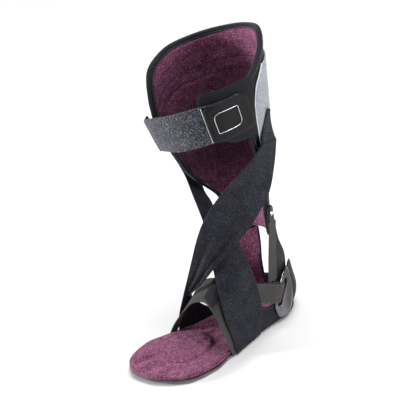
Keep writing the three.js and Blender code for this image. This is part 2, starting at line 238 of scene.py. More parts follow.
def make(name, verts, faces, uv=None):
    """Mesh object from points in millimetres, with smooth faces that point outwards."""
    mesh = bpy.data.meshes.new(name)
    mesh.from_pydata([tuple(p) for p in np.asarray(verts) * MM], [], [tuple(map(int, f)) for f in faces])
    if uv is not None:
        layer = mesh.uv_layers.new(name="cloth")
        index = np.zeros(len(mesh.loops), np.int32)
        mesh.loops.foreach_get("vertex_index", index)
        layer.data.foreach_set("uv", (np.asarray(uv, float)[index] * MM).astype(np.float32).ravel())
    mesh.polygons.foreach_set("use_smooth", [True] * len(mesh.polygons))
    outwards(mesh)
    return add(name, mesh)


def outwards(mesh):
    mesh.calc_loop_triangles()
    co = np.array([v.co for v in mesh.vertices])
    tri = np.array([t.vertices for t in mesh.loop_triangles])
    a, b, c = co[tri[:, 0]], co[tri[:, 1]], co[tri[:, 2]]
    if (a * np.cross(b, c)).sum() < 0:
        mesh.flip_normals()


def ticks(count, length, edge):
    """Places from 0 to 1, close together within edge of both ends."""
    near = min(edge / length, 0.4) * np.array([0, 0.06, 0.25, 0.6])
    middle = np.linspace(min(edge / length, 0.4), 1 - min(edge / length, 0.4), count)
    return np.concatenate([near, middle, 1 - near[::-1]])


def grid_faces(rows, cols, index):
    """Quads of a grid whose point (i, j) has number index(i, j)."""
    return [(index(i, j), index(i, j + 1), index(i + 1, j + 1), index(i + 1, j))
            for i in range(rows - 1) for j in range(cols - 1)]


def full_turn(count):
    return np.linspace(0, 2 * np.pi, count, endpoint=False)


def rod_faces(rings, sides, closed=False):
    """Quads round a rod of so many rings of points, and a face on each end if it isn't closed."""
    faces = []
    for i in range(rings if closed else rings - 1):
        here = i * sides
        there = (i + 1) % rings * sides
        for j in range(sides):
            beside = (j + 1) % sides
            faces.append((here + j, here + beside, there + beside, there + j))
    if not closed:
        last = (rings - 1) * sides
        faces += [tuple(range(sides))[::-1], tuple(range(last, last + sides))]
    return faces


def cloth(name, at, thick, step=2.5, edge=None, turned=False, fold=None, puff=None):
    """Closed sheet of even thickness with rounded edges about the surface at(u, v).

    fold(u, v) moves the whole sheet along its normal; puff(u, v) thickens its front only.
    turned makes the front face the other way.
    """
    edge = thick / 2 if edge is None else edge
    u, v = np.meshgrid(np.linspace(0, 1, 40), np.linspace(0, 1, 12), indexing="ij")
    rough = at(u, v)
    long = np.linalg.norm(np.diff(rough[:, 6], axis=0), axis=-1).sum()
    wide = np.linalg.norm(np.diff(rough[20], axis=0), axis=-1).sum()
    us = ticks(max(4, int(long / step)), long, edge)
    vs = ticks(max(4, int(wide / step)), wide, edge)
    u, v = np.meshgrid(us, vs, indexing="ij")
    middle = at(u, v)
    front = normals(middle) * (-1 if turned else 1)
    from_edge_u = np.minimum(u, 1 - u) * long / edge
    from_edge_v = np.minimum(v, 1 - v) * wide / edge
    profile = [np.sqrt(1 - (1 - np.clip(d, 0, 1))**2) for d in (from_edge_u, from_edge_v)]
    body = profile[0] * profile[1]
    if fold:
        middle = middle + front * fold(u, v)[..., None]
    extra = puff(u, v) * body if puff else 0 * body
    top = middle + front * (body * thick / 2 + extra)[..., None]
    low = middle - front * (body * thick / 2)[..., None]
    rows, cols = u.shape
    number = np.arange(rows * cols).reshape(rows, cols)
    other = number.copy()
    inside = (slice(1, -1), slice(1, -1))
    other[inside] = rows * cols + np.arange((rows - 2) * (cols - 2)).reshape(rows - 2, cols - 2)
    verts = np.vstack([top.reshape(-1, 3), low[inside].reshape(-1, 3)])
    flat = np.stack([u * long, v * wide], axis=-1)
    uv = np.vstack([flat.reshape(-1, 2), flat[inside].reshape(-1, 2)])
    faces = grid_faces(rows, cols, lambda i, j: number[i, j])
    faces += [f[::-1] for f in grid_faces(rows, cols, lambda i, j: other[i, j])]
    obj = make(name, verts, faces, uv)
    PLACES[name] = (u.ravel(), v.ravel())
    return obj


def swell(obj, free, cap):
    """Cloth simulation: pushes the cover out from inside where free(u, v) is true, by cap at most."""
    places = PLACES[obj.name]
    count = len(obj.data.vertices)
    held = np.ones(count, bool)
    held[:len(places[0])] = ~free(*places)
    group = obj.vertex_groups.new(name="held")
    group.add(np.flatnonzero(held).tolist(), 1.0, "REPLACE")
    cover = obj.modifiers.new("cover", "CLOTH")
    for setting, value in COVER.items():
        setattr(cover.settings, setting, value)
    cover.settings.vertex_group_mass = "held"
    cover.settings.effector_weights.gravity = 0
    cover.point_cache.frame_start = 1
    cover.point_cache.frame_end = SWELL_FRAMES
    scene = bpy.context.scene
    for step in range(1, SWELL_FRAMES + 1):
        scene.frame_set(step)
    before = np.array([v.co for v in obj.data.vertices])
    swollen = obj.evaluated_get(bpy.context.evaluated_depsgraph_get()).data
    after = np.array([v.co for v in swollen.vertices])
    move = after - before
    size = np.linalg.norm(move, axis=1, keepdims=True)
    move = move * np.minimum(1, cap * MM / np.maximum(size, 1e-9))
    obj.data.vertices.foreach_set("co", (before + move).astype(np.float32).ravel())
    obj.modifiers.remove(cover)
    obj.vertex_groups.remove(group)
    obj.data.update()
    scene.frame_set(1)


def tube(name, points, radius, front, closed=False, sides=10):
    """Round rod along points; front is a direction at each point that isn't along the rod."""
    p = np.asarray(points, float)
    if closed:
        way = unit(np.roll(p, -1, axis=0) - np.roll(p, 1, axis=0))
    else:
        way = unit(np.gradient(p, axis=0))
    side = unit(np.cross(way, front))
    up = np.cross(side, way)
    turn = full_turn(sides)
    ring = side[:, None] * np.cos(turn)[None, :, None] + up[:, None] * np.sin(turn)[None, :, None]
    verts = (p[:, None] + ring * radius).reshape(-1, 3)
    return make(name, verts, rod_faces(len(p), sides, closed))


def along_run(places, run, rows):
    """Rows, one for each length in run, read off at other places along it."""
    return np.stack([np.interp(places, run, rows[:, k]) for k in range(3)], axis=-1)


def stitches(name, runs, pitch=3.2, length=2.1, radius=0.24):
    """Rows of sewn stitches. runs is a list of (points, normals) along the seams."""
    # places along a stitch, its thickness there and how far it stands up
    profile = [[-1, 0.25, -0.9], [-0.85, 0.8, -0.25], [0, 1, 0.45], [0.85, 0.8, -0.25], [1, 0.25, -0.9]]
    sides = 6
    turn = full_turn(sides)
    one_stitch = rod_faces(len(profile), sides)
    verts = []
    faces = []
    for points, front in runs:
        run = np.concatenate([[0], np.cumsum(np.linalg.norm(np.diff(points, axis=0), axis=1))])
        centres = np.arange(pitch / 2, run[-1], pitch)
        p = along_run(centres, run, points)
        n = unit(along_run(centres, run, front))
        way = unit(along_run(centres + 0.5, run, points) - along_run(centres - 0.5, run, points))
        side = np.cross(way, n)
        for k in range(len(centres)):
            base = len(verts)
            for along, size, up in profile:
                middle = p[k] + way[k] * along * length / 2 + n[k] * up * radius
                for a in turn:
                    verts.append(middle + radius * size * (side[k] * np.cos(a) + n[k] * np.sin(a)))
            faces += [tuple(base + corner for corner in face) for face in one_stitch]
    return make(name, np.array(verts), faces)


def seam(at, us, vs, off, turned=False):
    """Points and normals of a line on the surface at(u, v), moved off from it."""
    e = 1e-3
    us = us + 0 * vs
    vs = vs + 0 * us
    du = at(np.clip(us + e, 0, 1), vs) - at(np.clip(us - e, 0, 1), vs)
    dv = at(us, np.clip(vs + e, 0, 1)) - at(us, np.clip(vs - e, 0, 1))
    front = unit(np.cross(du, dv)) * (-1 if turned else 1)
    return at(us, vs) + front * off, front


# ---- finishes
def rgb(r, g, b):
    """Colour given in 0 to 255, as a linear colour."""
    return tuple(((c / 255 + 0.055) / 1.055)**2.4 if c > 10 else c / 3294 for c in (r, g, b)) + (1,)


class Finish:
    """A node material, built step by step."""

    def __init__(self, name):
        self.material = bpy.data.materials.new(name)
        self.material.use_nodes = True
        self.tree = self.material.node_tree
        self.shader = self.tree.nodes["Principled BSDF"]
        self.place = self.tree.nodes.new("ShaderNodeTexCoord")

    def node(self, kind, settings=(), **inputs):
        made = self.tree.nodes.new("ShaderNode" + kind)
        for key, value in dict(settings).items():
            setattr(made, key, value)
        for key, value in inputs.items():
            socket = made.inputs[int(key[1:])] if key[0] == "_" else made.inputs[key.replace("_", " ")]
            self.put(socket, value)
        return made

    def put(self, socket, value):
        if isinstance(value, bpy.types.NodeSocket):
            self.tree.links.new(value, socket)
        else:
            socket.default_value = value

    def noise(self, scale, detail=2.0, roughness=0.5, distortion=0.0):
        return self.node("TexNoise", Vector=self.place.outputs["Object"], Scale=scale, Detail=detail,
                         Roughness=roughness, Distortion=distortion).outputs["Fac"]

    def math(self, operation, a, b=0.0):
        return self.node("Math", {"operation": operation}, _0=a, _1=b).outputs[0]

    def span(self, value, low, high, to_low=0.0, to_high=1.0):
        return self.node("MapRange", Value=value, From_Min=low, From_Max=high, To_Min=to_low,
                         To_Max=to_high).outputs[0]

    def axis(self, number, where="Object"):
        return self.node("SeparateXYZ", Vector=self.place.outputs[where]).outputs[number]

    def waves(self, across, along):
        """Sine waves over the cloth's own length and width, in waves per metre."""
        x = self.math("MULTIPLY", self.axis(0, "UV"), along * 2 * math.pi)
        y = self.math("MULTIPLY", self.axis(1, "UV"), across * 2 * math.pi)
        return self.span(self.math("SINE", self.math("ADD", x, y)), -1, 1)

    def blend(self, a, b, factor):
        made = self.node("Mix", {"data_type": "RGBA"}, _0=factor)
        self.put(made.inputs[6], a)
        self.put(made.inputs[7], b)
        return made.outputs[2]

    def bump(self, height, depth, strength=1.0):
        made = self.node("Bump", Strength=strength, Distance=depth * MM, Height=height)
        if self.shader.inputs["Normal"].links:
            self.put(made.inputs["Normal"], self.shader.inputs["Normal"].links[0].from_socket)
        self.put(self.shader.inputs["Normal"], made.outputs[0])

    def done(self, **inputs):
        for key, value in inputs.items():
            self.put(self.shader.inputs[key.replace("_", " ")], value)
        return self.material


def velour():
    """Crushed pile: soft patches that lie one way or the other and fine fibres, with painted shade
    that darkens the lining between about 140 and 310 mm high, where the inside of the calf lies in
    shadow."""
    f = Finish("plum_velour")
    patches = f.noise(75, 4, 0.7, 0.6)
    crushed = f.noise(330, 4, 0.8, 0.2)
    pile = f.noise(1500, 2, 0.6)
    shade = f.span(f.math("ADD", patches, f.math("MULTIPLY", crushed, 0.8)), 0.68, 1.12)
    colour = f.blend(rgb(82, 32, 58), rgb(156, 86, 124), shade)
    colour = f.blend(colour, rgb(34, 12, 27), f.span(pile, 0.6, 0.4, 0, 0.6))
    speckle = f.noise(760, 3, 0.9)
    colour = f.blend(colour, rgb(222, 168, 200), f.span(speckle, 0.54, 0.64, 0, 0.75))
    height = f.axis(2)
    # painted shade: darker between about 140 and 310 mm high, most from 190 to 250 mm, for the calf's
    # shadowed inside
    painted_low_shade = f.math("MULTIPLY", f.span(height, 140 * MM, 190 * MM), f.span(height, 310 * MM, 250 * MM))
    colour = f.blend(colour, rgb(26, 9, 19), f.math("MULTIPLY", painted_low_shade, 0.7))
    f.bump(crushed, 0.5, 0.7)
    f.bump(pile, 0.35, 0.8)
    return f.done(Base_Color=colour, Roughness=0.95, Specular_IOR_Level=0.12, Sheen_Weight=0.6,
                  Sheen_Roughness=0.4, Sheen_Tint=rgb(226, 170, 192))


def shell_plastic():
    f = Finish("black_shell")
    grain = f.noise(1900, 2)
    wear = f.noise(35, 3)
    colour = f.blend(rgb(17, 18, 21), rgb(29, 30, 35), f.span(wear, 0.35, 0.7))
    f.bump(grain, 0.08, 0.5)
    return f.done(Base_Color=colour, Roughness=f.span(wear, 0.3, 0.7, 0.5, 0.68), Specular_IOR_Level=0.3)


def woven(name, dark, light, pitch, roughness=0.9, slant=1.0, depth=0.16, sheen=0.12):
    """Tightly woven cloth: two sets of threads pitch millimetres apart, slanted to the length."""
    f = Finish(name)
    rate = 1 / (pitch * MM)
    one = f.waves(rate, rate * slant)
    two = f.waves(rate * 0.5, -rate * 0.5)
    weave = f.math("MULTIPLY", one, two)
    dust = f.noise(900, 3, 0.65)
    wear = f.noise(40, 3, 0.6)
    mixed = f.math("ADD", f.math("MULTIPLY", weave, 0.55), f.span(dust, 0.4, 0.75, 0, 0.55))
    tone = f.math("MULTIPLY", mixed, f.span(wear, 0.25, 0.75, 0.55, 1.1))
    colour = f.blend(dark, light, tone)
    f.bump(weave, depth)
    f.bump(dust, depth * 0.7, 0.6)
    return f.done(Base_Color=colour, Roughness=roughness, Specular_IOR_Level=0.25, Sheen_Weight=sheen,
                  Sheen_Roughness=0.4)


def elastic():
    """Stretch webbing: ribs across it, fine threads along it and pale flecks."""
    f = Finish("slate_elastic")
    ribs = f.waves(60, 430)
    threads = f.waves(900, 0)
    dust = f.noise(850, 4, 0.75)
    long_streaks = f.noise(60, 3, 0.6, 0.4)
    weave = f.math("ADD", f.math("MULTIPLY", ribs, 0.6), f.math("MULTIPLY", threads, 0.4))
    mixed = f.math("ADD", f.math("MULTIPLY", weave, 0.3), f.span(dust, 0.5, 0.64, 0, 0.8))
    tone = f.math("MULTIPLY", mixed, f.span(long_streaks, 0.3, 0.7, 0.45, 1.15))
    colour = f.blend(rgb(9, 10, 13), rgb(76, 78, 90), tone)
    f.bump(weave, 0.22)
    f.bump(dust, 0.14, 0.7)
    return f.done(Base_Color=colour, Roughness=0.85, Specular_IOR_Level=0.2, Sheen_Weight=0.15,
                  Sheen_Roughness=0.35, Sheen_Tint=rgb(160, 166, 184))


def loop_fabric(name, dark, light, amount, sheen=0.25):
    """Brushed loops: light and dark flecks."""
    f = Finish(name)
    flecks = f.noise(700, 4, 0.85, 0.8)
    fuzz = f.noise(1700, 2, 0.6)
    cloud = f.noise(55, 3, 0.6)
    light_part = f.math("MULTIPLY", f.span(flecks, 0.51, 0.63), f.span(cloud, 0.3, 0.7, 0.6, amount))
    colour = f.blend(dark, light, light_part)
    colour = f.blend(colour, rgb(20, 20, 24), f.span(fuzz, 0.45, 0.3, 0, 0.6))
    f.bump(flecks, 0.5)
    f.bump(fuzz, 0.2, 0.7)
    return f.done(Base_Color=colour, Roughness=0.95, Specular_IOR_Level=0.15, Sheen_Weight=sheen,
                  Sheen_Roughness=0.5)


def webbing():
    f = Finish("olive_webbing")
    ribs = f.waves(30, 700)
    threads = f.waves(1300, 0)
    dust = f.noise(1200, 2)
    wear = f.noise(50, 3, 0.6)
    weave = f.math("MULTIPLY", ribs, f.span(threads, 0, 1, 0.5, 1))
    mixed = f.math("ADD", f.math("MULTIPLY", weave, 0.6), f.span(dust, 0.4, 0.8, 0, 0.4))
    tone = f.math("MULTIPLY", mixed, f.span(wear, 0.3, 0.7, 0.7, 1.1))
    colour = f.blend(rgb(33, 31, 32), rgb(106, 102, 101), tone)
    f.bump(weave, 0.2)
    return f.done(Base_Color=colour, Roughness=0.85, Specular_IOR_Level=0.3, Sheen_Weight=0.2,
                  Sheen_Roughness=0.4)


def hard(name, dark, light, low, high, metallic=0.0, coat=0.0, shine=0.5, depth=0.04, painted_dark_reflection=None):
    """Moulded or polished surface with uneven gloss. The last argument, if given, is a painted dark
    reflection: the colour fades to it towards the back edge.
    """
    f = Finish(name)
    fine = f.noise(1500, 2)
    wear = f.noise(70, 4, 0.65)
    colour = f.blend(dark, light, f.span(wear, 0.3, 0.7))
    # painted dark reflection: the colour fades to the given dark towards the back edge
    if painted_dark_reflection:
        colour = f.blend(colour, painted_dark_reflection, f.span(f.axis(1), 2 * MM, 11 * MM))
    f.bump(fine, depth, 0.6)
    return f.done(Base_Color=colour, Roughness=f.span(wear, 0.3, 0.75, low, high), Metallic=metallic,
                  Specular_IOR_Level=shine, Coat_Weight=coat, Coat_Roughness=0.12)


VELOUR = velour()
SHELL = shell_plastic()
SOLE = hard("grey_sole", rgb(62, 58, 65), rgb(106, 100, 109), 0.4, 0.6)
ELASTIC = elastic()
WEBBING = webbing()
TEXTILE = woven("black_textile", rgb(14, 15, 20), rgb(58, 60, 72), 0.9)
FLAP = woven("soft_black_knit", rgb(15, 15, 19), rgb(44, 45, 53), 0.7, slant=0.4)
LOOP = loop_fabric("grey_loop", rgb(19, 20, 25), rgb(160, 164, 180), 1.0)
PANEL = loop_fabric("pale_felt", rgb(142, 145, 154), rgb(226, 228, 234), 1.2)
TRIM = hard("white_trim", rgb(206, 208, 214), rgb(238, 239, 243), 0.45, 0.65)
RUBBER = hard("black_rubber", rgb(6, 6, 8), rgb(13, 13, 16), 0.55, 0.72, shine=0.25, depth=0.1)
# the buckle's back edge gets a painted dark reflection
GLOSS = hard("mauve_gloss", rgb(72, 68, 80), rgb(124, 118, 134), 0.12, 0.26, coat=0.7,
             painted_dark_reflection=rgb(22, 21, 26))
STEEL = hard("steel", rgb(176, 178, 186), rgb(222, 224, 230), 0.2, 0.38, metallic=1.0)
BLACK_THREAD = hard("black_thread", rgb(16, 16, 20), rgb(42, 42, 48), 0.5, 0.7)
PLUM_THREAD = hard("plum_thread", rgb(22, 8, 16), rgb(50, 18, 34), 0.6, 0.8, shine=0.2)
GREY_THREAD = hard("grey_thread", rgb(70, 71, 80), rgb(112, 114, 124), 0.5, 0.7)


# a piece on ANKLE is not attached to a body: its place is baked into its mesh
ANKLE = "ankle"


def paint(obj, material):
    obj.data.materials.clear()
    obj.data.materials.append(material)


def dress(obj, material, slot, body, *stands_for):
    """Gives a piece its finish, its body and the CAD nodes that it stands for."""
    paint(obj, material)
    if stands_for:
        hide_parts(*stands_for)
    if body == ANKLE:
        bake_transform(obj)
    else:
        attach(obj, body)
    return obj


# ---- foot
FLOOR_LAYERS = PLATE_T + GAP


def sole_surface(inset, height, edge_rise=0.0):
    def at(u, v):
        x, y, t = sole_place(u, v, inset)
        edge = np.maximum(0, 2 * v - 1)**4 * np.sin(np.pi * t)
        return np.stack([x, y, height + sole_lift(y) + edge_rise * edge], axis=-1)
    return at


plate = cloth("sole_plate", sole_surface(0, PLATE_T / 2), PLATE_T, step=3)
dress(plate, SOLE, "shell", "foot", "foot_plate")

insole_at = sole_surface(0.4, FLOOR_LAYERS + INSOLE_T / 2, 1.5)


def insole_puff(u, v):
    edge = np.minimum(np.minimum(v, 1 - v) * 5, 1)
    return 0.9 * np.sin(np.pi * edge / 2) * np.sin(np.pi * u)**0.4 + 0.25 * ripple(u * 23, v * 9, 1.0)


insole = cloth("insole_cushion", insole_at, INSOLE_T, step=2.5, edge=2.2, puff=insole_puff)


def inside(u, v):
    """True away from the edges of a piece."""
    return (np.minimum(u, 1 - u) > 0.03) & (np.minimum(v, 1 - v) > 0.06)


def clear_of_oval(u, v):
    return inside(u, v) & ((u < 0.5) | (u > 0.75))


swell(insole, clear_of_oval, cap=0.7)
dress(insole, VELOUR, "velour", "foot", "insole")


OVAL_MIDDLE = (-4, -112)
OVAL_HALF = (27, 33)
OVAL_T = 1.2
OVAL_LIFT = 1.0
OVAL_CROWN = 0.9


def oval_at(u, v):
    """The square of u and v drawn out to an ellipse, highest in its middle."""
    p = 2 * u - 1
    q = 2 * v - 1
    x = p * np.sqrt(1 - q * q / 2)
    y = q * np.sqrt(1 - p * p / 2)
    along = OVAL_MIDDLE[1] + OVAL_HALF[1] * y
    rise = np.maximum(0, 1 - x * x - y * y)
    z = FLOOR_LAYERS + INSOLE_T + OVAL_LIFT + sole_lift(along) + OVAL_CROWN * rise**0.7
    return np.stack([OVAL_MIDDLE[0] + OVAL_HALF[0] * x, along, z], axis=-1)


oval = cloth("metatarsal_pad", oval_at, OVAL_T, step=2)
swell(oval, inside, cap=0.8)
dress(oval, VELOUR, "velour", "foot", "forefoot_pad")

# ---- heel
CUP_PLAN = [[-34.3, -33], [-34.8, -8], [-34.6, 8], [-27, 26], [-14, 34.4], [0, 36], [14, 34.4], [27, 26],
            [34.6, 8], [35.4, -8], [36.8, -33]]
CUP_HEIGHT = [[0, 10], [0.15, 12], [0.3, 22], [0.4, 20], [0.5, 20], [0.58, 38], [0.66, 60],
              [0.71, 62], [0.76, 50], [0.81, 30], [0.86, 24.5], [0.93, 25], [1, 36]]
CUP_BULGE = [[0, 0], [8, 1], [16, 5], [26, 7], [42, 5.2], [58, 3], [66, 1.4]]
CUP_BULGE_ROUND = [[0, 0], [0.25, 0], [0.38, 1], [0.62, 1], [0.72, 0.7], [0.79, 0], [1, 0]]
CUP_LOW = 1.2
CUP_T = 1.8
cup_plan = curve([[x, y, 0] for x, y in CUP_PLAN])


def cup_at(u, v):
    """Wall round the heel: its plan, pushed out by the bulge at each height."""
    p = cup_plan(u)
    way = unit(cup_plan(np.minimum(1, u + 0.01)) - cup_plan(np.maximum(0, u - 0.01)))
    rise = v * smooth(CUP_HEIGHT, u)
    out = smooth(CUP_BULGE, rise) * smooth(CUP_BULGE_ROUND, u)
    x = p[..., 0] - way[..., 1] * out
    y = p[..., 1] + way[..., 0] * out
    return np.stack([x, y, CUP_LOW + rise], axis=-1)


cup = cloth("heel_counter", cup_at, CUP_T, step=2)
dress(cup, TEXTILE, "textile", "foot", "heel_cup")
cup_line = np.linspace(0.02, 0.98, 160)
cup_seam_v = 1 - 2.6 / smooth(CUP_HEIGHT, cup_line)
cup_seams = [seam(cup_at, cup_line, cup_seam_v, off) for off in (-1.0, 1.0)]
cup_stitching = dress(stitches("heel_counter_stitching", cup_seams), GREY_THREAD, "textile", "foot")

BUCKLE_X = 37.2
BUCKLE_T = 2.2
BUCKLE = [[15, 66], [6, 52], [-8.5, 25], [-9, 19], [-3, 5], [11, 7], [19, 24], [20, 40]]
SLOT = [[10.8, 51.2], [3.6, 38], [-5.2, 22.6], [-3.2, 21.2], [0, 21.8], [6, 35], [12.8, 48.6],
        [12.4, 50.6]]


def closed_curve(points, count):
    loop = np.array(points + points[:3], float)
    at = curve(np.vstack([points[-1], loop])[:, [0, 1, 1]])
    n = len(points)
    return at(np.linspace(1, n + 1, count, endpoint=False) / (n + 3))[:, :2]


def buckle():
    """Plate with a slanted slot and rounded edges: rings from the slot out to the outline and back."""
    count = 96
    outer = closed_curve(BUCKLE, count)
    inner = closed_curve(SLOT, count)
    front = []
    back = []
    for t in np.linspace(0, 1, 9):
        ring = mix(inner, outer, t)
        swell_out = np.sqrt(1 - (2 * t - 1)**6)
        front.append(np.column_stack([np.full(count, BUCKLE_X + BUCKLE_T / 2 * (1 + swell_out)), ring]))
        back.append(np.column_stack([np.full(count, BUCKLE_X + BUCKLE_T / 2 * (1 - swell_out)), ring]))
    loop = front + back[-2:0:-1]
    return make("heel_slot_plate", np.vstack(loop), rod_faces(len(loop), count, closed=True))


dress(buckle(), GLOSS, "gloss", "foot", "heel_buckle")

HEEL_LOOP = [[31.5, -60, 58], [36, -34, 53], [38.5, -18, 46], [41, -7, 40.5], [41, 0.6, 37.3],
             [38.3, 4.1, 35.8], [35.6, 0.6, 37.3], [34.4, -8, 41], [33, -20, 46]]
SLOT_WAY = np.array([0, 0.47, 0.88])
HEEL_WEBBING_W = 23.0
heel_loop = curve(HEEL_LOOP)


def heel_strap_at(u, v):
    return heel_loop(u) + SLOT_WAY * ((v - 0.5) * HEEL_WEBBING_W)[..., None]


heel_strap = cloth("heel_webbing", heel_strap_at, WEBBING_T, step=1.5)
dress(heel_strap, WEBBING, "webbing", "foot", "heel_strap")
heel_line = np.linspace(0.03, 0.55, 80)
heel_seams = [seam(heel_strap_at, heel_line, np.array(v), off) for v in (0.08, 0.92)
              for off in (-0.75, 0.75)]
heel_strap_stitching = stitches("heel_webbing_stitching", heel_seams, pitch=2.4, length=1.5, radius=0.18)
dress(heel_strap_stitching, GREY_THREAD, "webbing", "foot")

# ---- struts
STRUT_OFF = 5.2
LINER_OFF = 2.8
LINER_T = 2.2
BAR_PADDING_START = 0.47


def on_shell(angle, z):
    return leg(np.array(float(angle)), np.array(float(z)), STRUT_OFF).tolist()


LATERAL_FRONT = [on_shell(71, 150), on_shell(72, 124), [37, 0, 100], [35, 3, 74], [31.8, 5, 52],
                 [31.4, 6, 26]]
LATERAL_REAR = [on_shell(53, 150), on_shell(46, 124), [32.5, 14.5, 102], [30, 22, 77], [26, 24, 55],
                [23.5, 22, 26]]
MEDIAL_FRONT = [on_shell(-66, 152), on_shell(-66, 124), [-36.5, 3, 98], [-34.5, 9, 68], [-31.4, 14, 40],
                [-29.8, 14, 10]]
MEDIAL_REAR = [on_shell(-42, 152), on_shell(-38, 124), [-25, 31, 98], [-23.5, 31.5, 72],
               [-22.5, 28.5, 46], [-19, 26.5, 10]]


def inward(points, distance):
    return [[x - math.copysign(distance, x), y - distance * 0.6, z] for x, y, z in points]


def rounded_start(at):
    """The same surface with its first end rounded off."""
    def rounded(u, v):
        share = np.sqrt(1 - 0.97 * (1 - np.clip(u / 0.1, 0, 1))**2)
        return at(u, 0.5 + (v - 0.5) * share)
    return rounded


def padded_part(at):
    """The lower part of a bar's surface, which carries the padding."""
    return lambda u, v: at(mix(BAR_PADDING_START, 1, u), v)


def bar_puff(u, v):
    return 0.2 * ripple(u * 20, v * 5)


for side, front_edge, rear_edge in (("lateral", LATERAL_FRONT, LATERAL_REAR),
                                    ("medial", MEDIAL_FRONT, MEDIAL_REAR)):
    strut_at = rounded_start(between(front_edge, rear_edge))
    strut = cloth(side + "_spring_bar", strut_at, STRUT_T, step=2)
    dress(strut, SHELL, "shell", ANKLE, side + "_strut")
    inner_at = between(inward(front_edge, LINER_OFF), inward(rear_edge, LINER_OFF))
    liner = cloth(side + "_bar_padding", padded_part(inner_at), LINER_T, step=2, fold=bar_puff)
    dress(liner, VELOUR, "velour", ANKLE, side + "_strut_lining")
    way = np.linspace(BAR_PADDING_START, 0.97, 60)
    facing = inner_at(way, np.full(60, 0.5)) - strut_at(way, np.full(60, 0.5))
    bar_piping = tube(side + "_bar_piping", inner_at(way, np.full(60, 1.0)), 1.5, facing, sides=12)
    dress(bar_piping, TEXTILE, "textile", ANKLE)

for name in ("lateral_rivet", "medial_rivet"):
    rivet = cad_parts[name]
    paint(rivet, STEEL)
    round_edge = rivet.modifiers.new("round", "BEVEL")
    round_edge.width = 0.5 * MM
    round_edge.segments = 3

WEB_FRONT = [[43.8, -4, 132], [41.8, -6, 112], [38.4, -8.5, 84], [36.2, -11.5, 55]]
WEB_REAR = [[43.4, 6.6, 132], [41.6, 4.6, 112], [38, 3.6, 84], [36, 1.6, 55]]
web_at = between(WEB_FRONT, WEB_REAR)
web = cloth("upright_webbing", web_at, WEBBING_T, step=1)
dress(web, WEBBING, "webbing", ANKLE, "rear_webbing")

# ---- calf shell, lining, binding
EDGE_IN = BINDING_W + 2 * GAP


def shell_at(inset, off):
    return on_leg(lambda u, v: shell_place(u, v, inset), off)


shell = cloth("calf_plate", shell_at(EDGE_IN, SHELL_T / 2), SHELL_T, step=3, turned=True)
dress(shell, SHELL, "shell", "calf", "calf_shell")

SEAM_DROPS = (30.0, 43.0)


def seam_v(u, drop):
    """Height share of the seam that runs drop below the top edge and follows it."""
    bottom = lower_edge(u)
    top = top_edge(u) - EDGE_IN
    return (top - drop - bottom) / (top - bottom)


lining_at = shell_at(EDGE_IN - 0.6, -GAP - LINING_T / 2)


def lining_puff(u, v):
    """Foam between the seams, pressed in along them."""
    height = top_edge(u) - WINDOW_TOP
    sunk = np.ones_like(u)
    for drop in SEAM_DROPS:
        away = np.abs(v - seam_v(u, drop)) * height
        sunk = sunk * (1 - np.exp(-(away / 3.0)**2))
    return 1.2 * sunk + 0.3 * ripple(u * 11, v * 13, 2.0) * sunk


def between_seams(u, v):
    """True away from the edges and the two seams."""
    height = top_edge(u) - WINDOW_TOP
    clear = inside(u, v)
    for drop in SEAM_DROPS:
        clear = clear & (np.abs(v - seam_v(u, drop)) * height > 2.2)
    return clear


lining = cloth("calf_padding", lining_at, LINING_T, step=2.4, edge=2.5, puff=lining_puff)
swell(lining, between_seams, cap=1.3)
dress(lining, VELOUR, "velour", "calf", "calf_lining")
seam_line = np.linspace(0.03, 0.97, 500)
lining_seams = [seam(lining_at, seam_line, seam_v(seam_line, drop), LINING_T / 2 + 0.15)
                for drop in SEAM_DROPS]
dress(stitches("calf_padding_stitching", lining_seams, pitch=3.0, length=2.2, radius=0.42), PLUM_THREAD,
      "velour", "calf")


BINDING_INNER = -3.8
BINDING_OUTER = 2.3


def binding(name, place, count):
    """Soft strip folded over the edge: a rounded section swept along the outline."""
    sides = 20
    turn = full_turn(sides)
    c = np.cos(turn)
    w = np.sin(turn)
    across = BINDING_W / 2 * (1 + np.sign(c) * np.abs(c)**0.7)
    off = mix(BINDING_INNER, BINDING_OUTER, 0.5 + 0.5 * np.sign(w) * np.abs(w)**0.6)
    rings = []
    for k, step in enumerate(np.linspace(0, 1, count)):
        pucker = 1 + 0.02 * math.sin(2.1 * k) + 0.02 * math.sin(0.9 * k)
        rings.append(leg(*place(np.full(sides, step), across), off * pucker))
    run = np.repeat(np.arange(count) * 3.0, sides)
    uv = np.column_stack([run, np.tile(np.arange(sides) * 1.0, count)])
    return make(name, np.vstack(rings), rod_faces(count, sides), uv)


def rim(s, inset):
    return rim_place(3 * s, inset)


WINDOW_RIM_START = 0.2
WINDOW_RIM_END = 0.9


def window_rim(s, inset):
    """Along the shell's lower edge, above the heel window."""
    angle, z = shell_place(mix(WINDOW_RIM_START, WINDOW_RIM_END, s), np.zeros_like(s), 7.1)
    return angle, z - 1.5 + inset * 0.75


dress(binding("rim_binding_strip", rim, 300), TEXTILE, "textile", "calf", "rim_binding")
dress(binding("window_binding_strip", window_rim, 120), TEXTILE, "textile", "calf")
rim_line = np.linspace(0.01, 0.99, 600)


def rim_seam(inset, off):
    points = leg(*rim_place(3 * rim_line, inset), off)
    inner = leg(*rim_place(3 * rim_line, inset), off - 1)
    return points, unit(points - inner) * (1 if off > 0 else -1)


rim_seams = [rim_seam(3.6, BINDING_OUTER + 0.25), rim_seam(3.6, BINDING_INNER - 0.25)]
dress(stitches("rim_binding_stitching", rim_seams, pitch=3.2, length=2.0, radius=0.34), GREY_THREAD,
      "textile", "calf")

# ---- outside of the calf
def panel_place(u, v):
    z = mix(PANEL_LOW, PANEL_HIGH, v)
    return mix(-70, smooth(PANEL_FRONT, z), u), z


